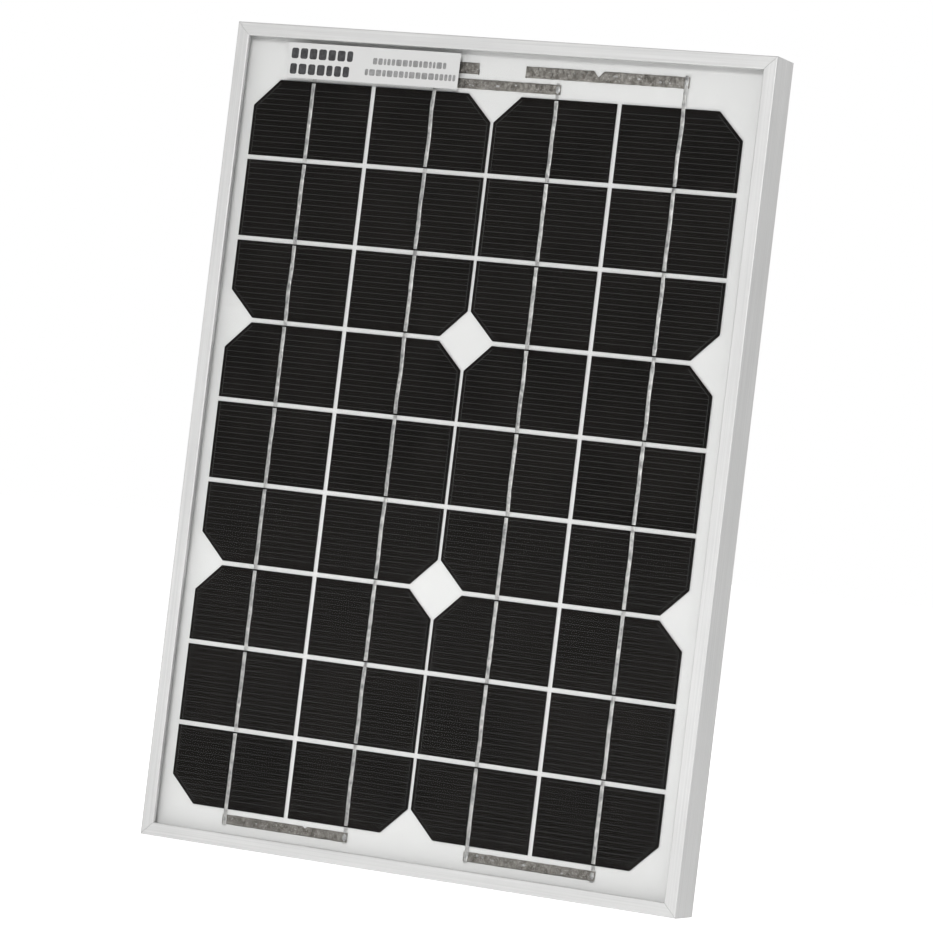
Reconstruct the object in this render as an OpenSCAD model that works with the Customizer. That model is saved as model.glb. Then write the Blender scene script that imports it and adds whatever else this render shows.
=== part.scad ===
// Small framed solar panel: mitred aluminium frame, glass laminate with 36 cells,
// junction box with a hinged lid, and a coiled two-core output lead.
// The panel stands upright: the glass faces -Y, +X is right, +Z is up.
// The origin is the centre of the rear plane, where the frame's flanges bear.

/* [Frame] */
// Overall width across the frame
panel_w = 240; // [238:1:260]
// Overall height across the frame
panel_h = 340; // [338:1:360]
// Depth from the front lip to the rear flange
frame_depth = 18; // [17.5:0.5:25]
// Width of the front lip
lip_w = 5.5; // [5:0.1:6]
// Thickness of the front lip
lip_t = 1.6; // [1.2:0.1:2]
// Thickness of the outer wall
wall_t = 1.4; // [1.2:0.1:1.6]
// Clear depth of the slot that holds the laminate
slot_depth = 5.2; // [5.2:0.1:6]
// Width of the shelf behind the laminate
shelf_w = 8; // [7.5:0.1:9]
// Thickness of the shelf and of the leg that hangs from it
shelf_t = 1.2; // [1:0.1:1.4]
// Width of the rear flange
flange_w = 10.5; // [10.3:0.1:11]
// Thickness of the rear flange
flange_t = 1.4; // [1.2:0.1:1.6]
// Radius along the frame's front edge
edge_r = 0.5; // [0.3:0.1:0.8]
// Radius of the mounting holes
mount_hole_r = 2.25; // [2:0.05:2.3]
// Distance of the mounting holes from the frame's side
mount_hole_inset = 5.6; // [5.4:0.1:6]
// Distance between the mounting holes up the panel
mount_hole_pitch = 170; // [100:5:240]

/* [Cells] */
// Width of one cell
cell_w = 53.3; // [52:0.1:53.4]
// Height of one cell
cell_h = 31.9; // [30:0.1:32]
// Gap between the two columns of one wafer block
col_gap = 1.9; // [1.5:0.1:2]
// Gap between the left and right blocks
centre_gap = 1.4; // [1:0.1:2]
// Gap between rows
row_gap = 1.9; // [1.7:0.1:2]
// Length of the cut corner along each side
corner_cut = 11.1; // [8:0.1:14]
// Sideways place of the cells' centre
field_x = -1.9; // [-2:0.1:0]
// Upward place of the cells' centre
field_z = -3.7; // [-4:0.1:-3]
// Width of the ribbon along each column
ribbon_w = 1.6; // [1.2:0.1:2]

/* [Junction box] */
// Width of the box
box_w = 58; // [56:1:60]
// Height of the box up the panel
box_h = 49; // [48:1:52]
// Angle that the lid is drawn at
lid_angle = 0; // [0:5:110]

/* [Lead] */
// Radius of the cable sheath
cable_r = 2.3; // [2:0.1:2.4]
// Radius of the coil's outermost turn
coil_r = 50; // [45:1:55]
// Number of turns in the coil
coil_turns = 3; // [2:1:3]

/* [Hidden] */
$fn = 48;

// Frame section, in depth
front_y = -frame_depth;
slot_front_y = front_y + lip_t;
shelf_y = slot_front_y + slot_depth;
shelf_back_y = shelf_y + shelf_t;
leg_drop = 4.4;
rib_t = 0.9;
rib_h = 1;
mitre_gap = 0.06;
key_gap = 0.05;
key_leg = 26;
key_taper = 1.5;

// Laminate layers, from the front
seal_t = 0.4;
laminate_inset = 2;
laminate_w = panel_w - 2 * laminate_inset;
laminate_h = panel_h - 2 * laminate_inset;
glass_corner_r = 1;
glass_y = slot_front_y + seal_t;
backsheet_t = 0.25;
backsheet_back_y = shelf_y - seal_t;
backsheet_y = backsheet_back_y - backsheet_t;
rear_film_t = 0.35;
cell_back_y = backsheet_y - rear_film_t;
cell_t = 0.2;
cell_y = cell_back_y - cell_t;
front_film_t = 0.4;
film_y = cell_y - front_film_t;
ribbon_t = 0.15;
seal_front_inner = 5.1;
seal_back_inner = 6.5;

// Cell layout
columns = 4;
rows = 9;
block_rows = 3;
row_pitch = cell_h + row_gap;
ribbon_margin = 1.2;
ribbon_bend = 0.15;
function column_x(c) =
    field_x + (c < 2 ? -1 : 1) * (centre_gap / 2 + cell_w / 2 + (c == 0 || c == 3 ? cell_w + col_gap : 0));
function row_z(r) = field_z + (rows - 1) / 2 * row_pitch - r * row_pitch;
field_top_z = row_z(0) + cell_h / 2;
field_bottom_z = row_z(rows - 1) - cell_h / 2;

// Bus strips: width of each, and how far past a ribbon it ends
bus_bottom_w = 4;
bus_bottom_z = field_bottom_z - 4.2;
bus_middle_w = 4;
bus_middle_z = field_top_z + 3.95;
bus_output_w = 4.6;
bus_output_z = field_top_z + 10.3;
bus_end = 1.2;
output_end_x = 10.5;
output_tab_w = 1.9;
output_foot_l = 4;
output_tab_z = bus_output_z - bus_output_w / 2 + output_tab_w / 2;
slit_clearance = 0.2;

// Labels
label_t = 0.1;
front_label_x = [-96, -17.5];
front_label_z = [148.3, 163];
rating_label_size = [70, 42];
rating_label_z = -112;
rating_label_r = 2;

// Junction box, in depth and outline
box_bed_t = 0.4;
box_y = backsheet_back_y + box_bed_t;
box_floor_t = 1.2;
box_floor_y = box_y + box_floor_t;
box_wall_t = 1.6;
box_top_z = panel_h / 2 - flange_w - 0.3;
box_mid_z = box_top_z - box_h / 2;
box_bottom_z = box_top_z - box_h;
box_inner_x = box_w / 2 - box_wall_t;
lid_back_y = -0.6;
lid_t = 1.6;
lid_y = lid_back_y - lid_t;
gasket_t = 0.6;
gasket_gap = 0.04;
gasket_inset = 0.2;
bed_inset = 1;
wall_back_y = lid_y - gasket_t - gasket_gap;
box_corner_r = 2.5;
box_inner_r = 0.6;
lead_opening_w = 26;
lead_opening_h = 5.6;
lead_opening_z = box_top_z - box_wall_t - lead_opening_h;

// Lid hinge
hinge_r = 1.7;
hinge_x = -box_w / 2 - hinge_r - 0.2;
hinge_y = lid_back_y - hinge_r;
pin_r = 0.7;
pin_bore_r = 0.75;
base_knuckle_l = 4;
lid_knuckle_l = 3;
knuckle_gap = 0.15;
knuckle_root = 0.5;
hinge_stations = [box_mid_z - 14, box_mid_z + 14];
rim_gap = 0.3;
rim_hinge_gap = 2;
rim_h = 1.4;
rim_t = 1.2;
catch_w = 12;
catch_out = 1.6;
catch_gap = 0.3;
catch_drop = 3;
catch_root = 1;

// Cable gland
gland_x = -18;
gland_y = -6.4;
boss_r = 3.8;
boss_l = 9;
boss_bore_r = 2.9;
gland_seal_l = 6;
gland_seal_inset = 0.6;
fit_gap = 0.02;
nut_r = 4.9;
nut_clearance = 0.05;
nut_back_z = box_bottom_z - 2.5;
nut_l = 9.5;
nut_cap_t = 2.2;
nut_flutes = 12;
flute_r = 0.5;
flute_out = 0.1;
nut_hole_r = cable_r + 0.25;

// Terminals
plate_x = 10;
plate_w = 8;
plate_l = 29;
plate_t = 0.8;
plate_z = box_bottom_z + 10.3;
plate_lift = 0.6;
plate_y = box_floor_y + plate_lift;
plate_back_y = plate_y + plate_t;
screw_r = 1.5;
screw_head_r = 2.75;
screw_head_h = 1.6;
screw_lift = 1.1;
screw_slot_w = 0.7;
screw_slot_d = 0.8;
screw_tip = 0.3;
screw_pocket_d = 0.4;
screw_pocket_gap = 0.1;
pad_half_w = 3;
pad_inset = 1;
screw_z = [plate_z + 6, plate_z + 21];
diode_z = plate_z + 13.5;
diode_lift = 1.9;
diode_l = 5.2;
diode_r = 1.35;
diode_leg_r = 0.4;
diode_leg_inset = 1.5;

// Lead
sheath_end_z = box_bottom_z + 6;
core_r = 0.85;
strand_r = 0.5;
core_gap = 0.95;
core_rise = [3.2, 1.2];
coil_pitch = 5;
coil_z = 12;
lead_bend_r = 18;
tail_r = coil_r - coil_turns * coil_pitch;
tail_angle = 38;
tail_strand_angle = 14;
tie_w = 2.6;
tie_t = 1;
tie_gap = 0.1;
tie_head_l = 3.4;
tie_head_half_d = 2.4;
tie_head_half_w = 2.2;
right_tie_angles = [-15, 60];

fine = 0.01;

// ---------------------------------------------------------------- shared shapes

// A box from its low corner to its high corner
module block(low, high) {
    translate(low) cube(high - low);
}

// A flat outline drawn in X and Z, made solid from y0 back to y1
module slab(y0, y1) {
    translate([0, y1, 0]) rotate([90, 0, 0]) linear_extrude(y1 - y0) children();
}

// Rectangle in X and Z with rounded corners
module rounded_outline(w, h, r) {
    square([w - 2 * r, h], center = true);
    square([w, h - 2 * r], center = true);
    for (sx = [-1, 1], sz = [-1, 1])
        translate([sx * (w / 2 - r), sz * (h / 2 - r)]) circle(r);
}

// A round wire through a list of points, with a slightly fuller ball at each bend
module wire(points, r) {
    for (i = [0 : len(points) - 2]) {
        step = points[i + 1] - points[i];
        reach = norm(step);
        translate(points[i])
            rotate([0, acos(step[2] / reach), atan2(step[1], step[0])])
                cylinder(h = reach, r = r, $fn = 24);
    }
    for (i = [1 : 1 : len(points) - 2]) translate(points[i]) sphere(r + 2 * fine, $fn = 24);
}

// ---------------------------------------------------------------- frame

// Section of a rail: first axis inward from the outer face, second axis in depth
module frame_section() {
    difference() {
        union() {
            translate([0, front_y]) square([wall_t, frame_depth]);
            translate([0, front_y]) square([lip_w, lip_t]);
            translate([0, shelf_y]) square([shelf_w, shelf_t]);
            translate([shelf_w - shelf_t, shelf_y]) square([shelf_t, shelf_t + leg_drop]);
            translate([0, -flange_t]) square([flange_w, flange_t]);
            translate([flange_w - rib_t, -flange_t - rib_h]) square([rib_t, rib_h + flange_t]);
        }
        difference() {
            translate([-fine, front_y - fine]) square(edge_r + fine);
            translate([edge_r, front_y + edge_r]) circle(edge_r);
        }
        difference() {
            translate([lip_w - edge_r, front_y - fine]) square([edge_r + fine, edge_r + fine]);
            translate([lip_w - edge_r, front_y + edge_r]) circle(edge_r);
        }
    }
}

// A rail as the left side of a frame, with both ends mitred at 45 degrees
module rail(length, span) {
    depth = flange_w + 1;
    half = length / 2 - mitre_gap;
    intersection() {
        translate([-span / 2, 0, -length / 2]) linear_extrude(length) frame_section();
        slab(front_y - 1, 1) polygon([
            [-span / 2, half], [-span / 2, -half],
            [-span / 2 + depth, -half + depth], [-span / 2 + depth, half - depth]
        ]);
    }
}

// A long rail with its two mounting holes
module drilled_rail() {
    difference() {
        rail(panel_h, panel_w);
        for (side = [-1, 1])
            translate([-panel_w / 2 + mount_hole_inset, 1, side * mount_hole_pitch / 2])
                rotate([90, 0, 0]) cylinder(h = flange_t + 2, r = mount_hole_r);
    }
}

module frame_left() {
    color("silver") drilled_rail();
}

module frame_right() {
    color("silver") rotate([0, 180, 0]) drilled_rail();
}

module frame_top() {
    color("silver") rotate([0, 90, 0]) rail(panel_w, panel_h);
}

module frame_bottom() {
    color("silver") rotate([0, -90, 0]) rail(panel_w, panel_h);
}

// L-shaped keys pressed into the channel at each corner
module corner_keys() {
    near = wall_t + key_gap;
    far = shelf_w - shelf_t - key_gap;
    outline = [
        [near, near], [key_leg, near], [key_leg, far - key_taper], [key_leg - key_taper, far],
        [far, far], [far, key_leg - key_taper], [far - key_taper, key_leg], [near, key_leg]
    ];
    color("gray") for (sx = [-1, 1], sz = [-1, 1])
        slab(shelf_back_y + key_gap, -flange_t - key_gap)
            polygon([for (p = outline) [sx * (panel_w / 2 - p[0]), sz * (panel_h / 2 - p[1])]]);
}

// Band of tape between two depths, from one distance inside the frame's outline to another
module seal_band(outer, inner, y0, y1) {
    difference() {
        slab(y0, y1) square([panel_w - 2 * outer, panel_h - 2 * outer], center = true);
        slab(y0 - 1, y1 + 1) square([panel_w - 2 * inner, panel_h - 2 * inner], center = true);
    }
}

// Foam tape folded round the laminate's edge: front strip, edge strip and rear strip
module edge_seal() {
    color("dimgray") union() {
        seal_band(wall_t, seal_front_inner, slot_front_y, glass_y);
        seal_band(wall_t, laminate_inset, slot_front_y, shelf_y);
        seal_band(wall_t, seal_back_inner, backsheet_back_y, shelf_y);
    }
}

// ---------------------------------------------------------------- laminate

// A full sheet of the laminate between two depths
module sheet(y0, y1) {
    block([-laminate_w / 2, y0, -laminate_h / 2], [laminate_w / 2, y1, laminate_h / 2]);
}

module cover_glass() {
    color("lightcyan", 0.4) slab(glass_y, film_y) rounded_outline(laminate_w, laminate_h, glass_corner_r);
}

// One cell. Only the outer corners of its two-by-three block are cut.
module cell(c, r) {
    left = c % 2 == 0;
    top = r % block_rows == 0;
    bottom = r % block_rows == block_rows - 1;
    w = cell_w / 2;
    h = cell_h / 2;
    cut_top = top ? corner_cut : 0;
    cut_bottom = bottom ? corner_cut : 0;
    side = left ? -1 : 1;
    outline = concat(
        [[-side * w, -h], [-side * w, h]],
        top ? [[side * (w - cut_top), h], [side * w, h - cut_top]] : [[side * w, h]],
        bottom ? [[side * w, cut_bottom - h], [side * (w - cut_bottom), -h]] : [[side * w, -h]]
    );
    translate([column_x(c), 0, row_z(r)]) slab(cell_y, cell_back_y) polygon(outline);
}

module cell_string(c) {
    color([0.13, 0.12, 0.12]) for (r = [0 : rows - 1]) cell(c, r);
}

// A column's ribbons, before they are turned to run up or down. Travel is along the first axis.
// Each link lies on the front of one cell, crosses the gap, and lies behind the next.
module ribbon_link() {
    front = cell_y - ribbon_t;
    back = cell_back_y + ribbon_t;
    reach = cell_h / 2 - ribbon_margin;
    leave = cell_h / 2 + ribbon_bend;
    enter = row_pitch - leave;
    polygon([
        [-reach, front], [leave, front], [enter, cell_back_y], [row_pitch + reach, cell_back_y],
        [row_pitch + reach, back], [enter, back], [leave, cell_y], [-reach, cell_y]
    ]);
}

// Turns an outline of travel and depth into a strip of ribbon in column c.
// way is -1 for a string that runs down and 1 for one that runs up.
module ribbon_strip(c, z, way) {
    translate([column_x(c) - ribbon_w / 2, 0, z])
        rotate([0, 90, 0]) linear_extrude(ribbon_w)
            mirror([way > 0 ? 1 : 0, 0]) children();
}

// The nine ribbons of column c, with the lead to its first bus and the lead from its last cell
module string_ribbon(c, first_bus_z, last_bus_z) {
    way = c % 2 == 0 ? -1 : 1;
    first = way < 0 ? 0 : rows - 1;
    last = way < 0 ? rows - 1 : 0;
    reach = cell_h / 2 - ribbon_margin;
    lead_in = abs(first_bus_z - row_z(first));
    lead_out = abs(last_bus_z - row_z(last));
    color("lightgray") {
        for (i = [0 : rows - 2]) ribbon_strip(c, row_z(first - way * i), way) ribbon_link();
        ribbon_strip(c, row_z(first), way)
            polygon([[-lead_in, cell_back_y], [reach, cell_back_y],
                     [reach, cell_back_y + ribbon_t], [-lead_in, cell_back_y + ribbon_t]]);
        ribbon_strip(c, row_z(last), way)
            polygon([[-reach, cell_y - ribbon_t], [lead_out, cell_y - ribbon_t],
                     [lead_out, cell_y], [-reach, cell_y]]);
    }
}

bottom_lead_z = bus_bottom_z - bus_bottom_w / 2;
middle_lead_z = bus_middle_z + bus_middle_w / 2;
output_lead_z = bus_output_z + bus_output_w / 2;

module string_ribbon_1() { string_ribbon(0, output_lead_z, bottom_lead_z); }
module string_ribbon_2() { string_ribbon(1, bottom_lead_z, middle_lead_z); }
module string_ribbon_3() { string_ribbon(2, middle_lead_z, bottom_lead_z); }
module string_ribbon_4() { string_ribbon(3, bottom_lead_z, output_lead_z); }

// A flat bus strip in the plane of the cells
module bus_strip(x0, x1, z, w) {
    block([x0, cell_y, z - w / 2], [x1, cell_back_y, z + w / 2]);
}

module bus_bottom_left() {
    color("darkgray") bus_strip(column_x(0) - bus_end, column_x(1) + bus_end, bus_bottom_z, bus_bottom_w);
}

module bus_bottom_right() {
    color("darkgray") bus_strip(column_x(2) - bus_end, column_x(3) + bus_end, bus_bottom_z, bus_bottom_w);
}

module bus_top_middle() {
    color("darkgray") bus_strip(column_x(1) - bus_end, column_x(2) + bus_end, bus_middle_z, bus_middle_w);
}

// Output strip of one side: the strip, a tab back through the backsheet, and a foot on the terminal plate
module output_bus(side) {
    outer = side < 0 ? column_x(0) - bus_end : column_x(3) + bus_end;
    inner = side * output_end_x;
    foot_y = plate_back_y + cell_t;
    tab_low = output_tab_z - output_tab_w / 2;
    tab_high = output_tab_z + output_tab_w / 2;
    foot_low = plate_z + plate_l - output_foot_l;
    color("darkgray") union() {
        bus_strip(min(outer, inner), max(outer, inner), bus_output_z, bus_output_w);
        block([min(inner, inner + side * cell_t), cell_y, tab_low],
              [max(inner, inner + side * cell_t), foot_y, tab_high]);
        block([min(inner + side * cell_t, inner - side * output_tab_w), plate_back_y, foot_low],
              [max(inner + side * cell_t, inner - side * output_tab_w), foot_y, tab_high]);
    }
}

module bus_output_left() { output_bus(-1); }
module bus_output_right() { output_bus(1); }

// Everything that is bedded in the encapsulant
module embedded_parts() {
    for (c = [0 : columns - 1]) cell_string(c);
    string_ribbon_1();
    string_ribbon_2();
    string_ribbon_3();
    string_ribbon_4();
    bus_bottom_left();
    bus_bottom_right();
    bus_top_middle();
    bus_output_left();
    bus_output_right();
}

// Slits for the two output tabs
module output_slits(y0, y1) {
    for (side = [-1, 1]) {
        x = side * (output_end_x + cell_t / 2);
        block([x - cell_t / 2 - slit_clearance, y0, output_tab_z - output_tab_w / 2 - slit_clearance],
              [x + cell_t / 2 + slit_clearance, y1, output_tab_z + output_tab_w / 2 + slit_clearance]);
    }
}

module front_encapsulant() {
    color("whitesmoke", 0.3) difference() {
        sheet(film_y, cell_y);
        embedded_parts();
    }
}

module rear_encapsulant() {
    color("whitesmoke", 0.3) difference() {
        sheet(cell_y, backsheet_y);
        embedded_parts();
        output_slits(cell_back_y, backsheet_y + 1);
    }
}

module backsheet() {
    color("white") difference() {
        sheet(backsheet_y, backsheet_back_y);
        output_slits(backsheet_y - 1, backsheet_back_y + 1);
    }
}

module front_label() {
    color("ghostwhite")
        block([front_label_x[0], glass_y - label_t, front_label_z[0]],
              [front_label_x[1], glass_y, front_label_z[1]]);
}

module rating_label() {
    color("gainsboro") translate([0, 0, rating_label_z])
        slab(backsheet_back_y, backsheet_back_y + label_t)
            rounded_outline(rating_label_size[0], rating_label_size[1], rating_label_r);
}

// ---------------------------------------------------------------- junction box

// The box's outline in X and Z, smaller all round by an inset
module box_outline(inset) {
    translate([0, box_mid_z])
        rounded_outline(box_w - 2 * inset, box_h - 2 * inset, max(box_corner_r - inset, box_inner_r));
}

// A knuckle of the lid hinge, from one height to another, with its arm towards the box
module knuckle(z0, z1, bore, arm_y0, arm_y1) {
    difference() {
        union() {
            translate([hinge_x, hinge_y, z0]) cylinder(h = z1 - z0, r = hinge_r);
            block([hinge_x, arm_y0, z0], [-box_w / 2 + knuckle_root, arm_y1, z1]);
        }
        translate([hinge_x, hinge_y, z0 - 1]) cylinder(h = z1 - z0 + 2, r = bore);
    }
}

module box_base() {
    color([0.1, 0.1, 0.1]) difference() {
        union() {
            slab(box_y, box_floor_y) box_outline(0);
            difference() {
                slab(box_y, wall_back_y) box_outline(0);
                slab(box_y - 1, 0) box_outline(box_wall_t);
            }
            for (z = hinge_stations)
                knuckle(z - base_knuckle_l / 2, z + base_knuckle_l / 2, pin_r + fit_gap,
                        hinge_y - hinge_r, wall_back_y);
            for (side = [-1, 1])
                block([side * plate_x - pad_half_w, box_floor_y - fine, plate_z + pad_inset],
                      [side * plate_x + pad_half_w, plate_y, plate_z + plate_l - pad_inset]);
            translate([gland_x, gland_y, box_bottom_z - boss_l]) cylinder(h = boss_l + fine, r = boss_r);
        }
        block([-lead_opening_w / 2, box_y - 1, lead_opening_z],
              [lead_opening_w / 2, box_floor_y + fine, box_top_z - box_wall_t]);
        translate([gland_x, gland_y, box_bottom_z - boss_l - 1])
            cylinder(h = boss_l + box_wall_t + 2, r = boss_bore_r);
        for (side = [-1, 1], z = screw_z)
            translate([side * plate_x, box_floor_y - screw_pocket_d, z])
                rotate([-90, 0, 0]) cylinder(h = 2, r = screw_r + screw_pocket_gap);
    }
}

module box_adhesive() {
    color("white") difference() {
        slab(backsheet_back_y, box_y) box_outline(bed_inset);
        block([-lead_opening_w / 2, backsheet_back_y - 1, lead_opening_z],
              [lead_opening_w / 2, box_y + 1, box_top_z - box_wall_t]);
    }
}

module box_gasket() {
    color("darkslategray") difference() {
        slab(wall_back_y, wall_back_y + gasket_t) box_outline(gasket_inset);
        slab(wall_back_y - 1, wall_back_y + 1) box_outline(box_wall_t - gasket_inset);
    }
}

// Rim inside the walls. It stands further in beside the hinge, so that it clears the wall as the lid opens.
module lid_rim() {
    x0 = -box_inner_x + rim_hinge_gap;
    x1 = box_inner_x - rim_gap;
    z0 = box_bottom_z + box_wall_t + rim_gap;
    z1 = box_top_z - box_wall_t - rim_gap;
    difference() {
        block([x0, lid_y - rim_h, z0], [x1, lid_y + fine, z1]);
        block([x0 + rim_t, lid_y - rim_h - 1, z0 + rim_t], [x1 - rim_t, lid_y + 1, z1 - rim_t]);
    }
}

// Finger catch on the lid's free side, outside the wall
module lid_catch() {
    x = box_w / 2;
    block([x - catch_root, lid_y, box_mid_z - catch_w / 2],
          [x + catch_out, lid_back_y, box_mid_z + catch_w / 2]);
    block([x + catch_gap, lid_y - catch_drop, box_mid_z - catch_w / 2],
          [x + catch_out, lid_y + fine, box_mid_z + catch_w / 2]);
}

module lid_at_rest() {
    union() {
        slab(lid_y, lid_back_y) box_outline(0);
        lid_rim();
        lid_catch();
        for (z = hinge_stations, side = [-1, 1]) {
            near = z + side * (base_knuckle_l / 2 + knuckle_gap);
            far = near + side * lid_knuckle_l;
            knuckle(min(near, far), max(near, far), pin_bore_r, lid_y, lid_back_y);
        }
    }
}

module box_lid() {
    color([0.12, 0.12, 0.12])
        translate([hinge_x, hinge_y, 0]) rotate([0, 0, lid_angle]) translate([-hinge_x, -hinge_y, 0])
            lid_at_rest();
}

module box_hinge_pins() {
    length = base_knuckle_l + 2 * (knuckle_gap + lid_knuckle_l);
    color("lightgray") for (z = hinge_stations)
        translate([hinge_x, hinge_y, z - length / 2]) cylinder(h = length, r = pin_r);
}

module terminal_plates() {
    color("goldenrod") for (side = [-1, 1])
        difference() {
            block([side * plate_x - plate_w / 2, plate_y, plate_z],
                  [side * plate_x + plate_w / 2, plate_back_y, plate_z + plate_l]);
            for (z = screw_z) translate([side * plate_x, plate_y - 1, z])
                rotate([-90, 0, 0]) cylinder(h = 3, r = screw_r + fit_gap);
        }
}

// Slotted cheese-head screws, lifted by the thickness of the strands that they clamp
module terminal_screws() {
    head_y = plate_back_y + screw_lift;
    slot_y = head_y + screw_head_h - screw_slot_d;
    color("silver") for (side = [-1, 1], z = screw_z)
        difference() {
            translate([side * plate_x, 0, z]) rotate([-90, 0, 0]) union() {
                translate([0, 0, plate_y - screw_tip])
                    cylinder(h = head_y - plate_y + screw_tip + fine, r = screw_r);
                translate([0, 0, head_y]) cylinder(h = screw_head_h, r = screw_head_r);
            }
            block([side * plate_x - screw_head_r - 1, slot_y, z - screw_slot_w / 2],
                  [side * plate_x + screw_head_r + 1, slot_y + screw_slot_d + 1, z + screw_slot_w / 2]);
        }
}

module bypass_diode() {
    y = plate_back_y + diode_lift;
    leg_x = plate_x - diode_leg_inset;
    color([0.15, 0.15, 0.15]) union() {
        translate([-diode_l / 2, y, diode_z]) rotate([0, 90, 0]) cylinder(h = diode_l, r = diode_r);
        wire([[-leg_x, plate_back_y, diode_z], [-leg_x, y, diode_z],
              [leg_x, y, diode_z], [leg_x, plate_back_y, diode_z]], diode_leg_r);
    }
}

// ---------------------------------------------------------------- gland and lead

module gland_seal() {
    color("darkslategray") translate([gland_x, gland_y, box_bottom_z - boss_l + gland_seal_inset])
        difference() {
            cylinder(h = gland_seal_l, r = boss_bore_r - fit_gap);
            translate([0, 0, -1]) cylinder(h = gland_seal_l + 2, r = cable_r + fit_gap);
        }
}

// Fluted cap nut that runs on the boss and closes on the cable
module gland_nut() {
    color([0.12, 0.12, 0.12]) translate([gland_x, gland_y, nut_back_z - nut_l])
        difference() {
            cylinder(h = nut_l, r = nut_r);
            translate([0, 0, nut_cap_t]) cylinder(h = nut_l, r = boss_r + nut_clearance);
            translate([0, 0, -1]) cylinder(h = nut_l, r = nut_hole_r);
            for (i = [0 : nut_flutes - 1])
                rotate([0, 0, i * 360 / nut_flutes]) translate([nut_r + flute_out, 0, -1])
                    cylinder(h = nut_l - 1, r = flute_r, $fn = 24);
        }
}

// Part of a ring in the plane of the coil. Angles run clockwise from the top, seen from the front.
module coil_arc(centre, ring_r, start, sweep, wire_r) {
    translate([centre[0], gland_y, centre[1]])
        rotate([90, 0, 0]) rotate([0, 0, 90 - start - sweep])
            rotate_extrude(angle = sweep) translate([ring_r, 0]) circle(wire_r, $fn = 24);
}

// Flat spiral of half rings: right halves about one centre, left halves about another half a pitch lower
module coil(wire_r) {
    for (k = [0 : coil_turns - 1]) {
        coil_arc([0, coil_z], coil_r - k * coil_pitch, 0, 180, wire_r);
        coil_arc([0, coil_z - coil_pitch / 2], coil_r - (k + 0.5) * coil_pitch, 180, 180, wire_r);
    }
}

// Sheath from inside the box, through the gland, round a bend and into the coil
module cable_sheath() {
    bend_z = coil_z + coil_r + lead_bend_r;
    color([0.08, 0.08, 0.08]) union() {
        translate([gland_x, gland_y, bend_z]) cylinder(h = sheath_end_z - bend_z, r = cable_r, $fn = 24);
        coil_arc([gland_x + lead_bend_r, bend_z], lead_bend_r, 180, 90, cable_r);
        coil(cable_r);
    }
}

// One core at the coil's inner end: insulated, then bare strands
module core_tail(offset) {
    r = tail_r + offset;
    coil_arc([0, coil_z], r, 0, tail_angle, core_r);
    coil_arc([0, coil_z], r, tail_angle, tail_strand_angle, strand_r);
}

// One core inside the box: insulated up, across and down to a terminal plate, then bare beside the screw
module core_in_box(side, rise) {
    x0 = gland_x + side * core_gap;
    x1 = side * plate_x - screw_r - strand_r - fit_gap;
    y = plate_back_y + strand_r;
    z = sheath_end_z + rise;
    wire([[x0, gland_y, sheath_end_z], [x0, gland_y, z], [x1, gland_y, z], [x1, y, z]], core_r);
    wire([[x1, y, z], [x1, y, screw_z[0] + screw_head_r]], strand_r);
}

module cable_core_positive() {
    color("firebrick") {
        core_in_box(-1, core_rise[0]);
        core_tail(core_gap);
    }
}

module cable_core_negative() {
    color([0.12, 0.12, 0.12]) {
        core_in_box(1, core_rise[1]);
        core_tail(-core_gap);
    }
}

// Ties round the coil at three places: a square loop and the head that locks it
module cable_tie(outer, inner) {
    grow = cable_r + tie_gap;
    difference() {
        block([inner - grow - tie_t, gland_y - grow - tie_t, -tie_w / 2],
              [outer + grow + tie_t, gland_y + grow + tie_t, tie_w / 2]);
        block([inner - grow, gland_y - grow, -tie_w], [outer + grow, gland_y + grow, tie_w]);
    }
    head_x = outer + grow + tie_t;
    block([head_x - fine, gland_y - tie_head_half_d, -tie_head_half_w],
          [head_x + tie_head_l, gland_y + tie_head_half_d, tie_head_half_w]);
}

module cable_ties() {
    last = coil_turns - 1;
    half = coil_pitch / 2;
    color([0.2, 0.2, 0.2]) {
        for (angle = right_tie_angles) translate([0, 0, coil_z]) rotate([0, angle, 0])
            cable_tie(coil_r, coil_r - last * coil_pitch);
        translate([0, 0, coil_z - half]) rotate([0, 180, 0])
            cable_tie(coil_r - half, coil_r - half - last * coil_pitch);
    }
}

// ---------------------------------------------------------------- assembly

frame_top();
frame_bottom();
frame_left();
frame_right();
corner_keys();
edge_seal();
cover_glass();
front_encapsulant();
cell_string(0);  // cell_string_1
cell_string(1);  // cell_string_2
cell_string(2);  // cell_string_3
cell_string(3);  // cell_string_4
string_ribbon_1();
string_ribbon_2();
string_ribbon_3();
string_ribbon_4();
bus_bottom_left();
bus_bottom_right();
bus_top_middle();
bus_output_left();
bus_output_right();
rear_encapsulant();
backsheet();
front_label();
rating_label();
box_base();
box_adhesive();
box_gasket();
box_lid();
box_hinge_pins();
terminal_plates();
terminal_screws();
bypass_diode();
gland_seal();
gland_nut();
cable_sheath();
cable_core_positive();
cable_core_negative();
cable_ties();
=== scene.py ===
"""Looks of the small framed solar panel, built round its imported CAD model.

The panel stands upright: the glass faces -Y, +X is right, +Z is up. All lengths are in metres.
"""

import itertools
import math
import random

import bmesh
import bpy
from mathutils import Matrix, Vector, noise


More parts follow.
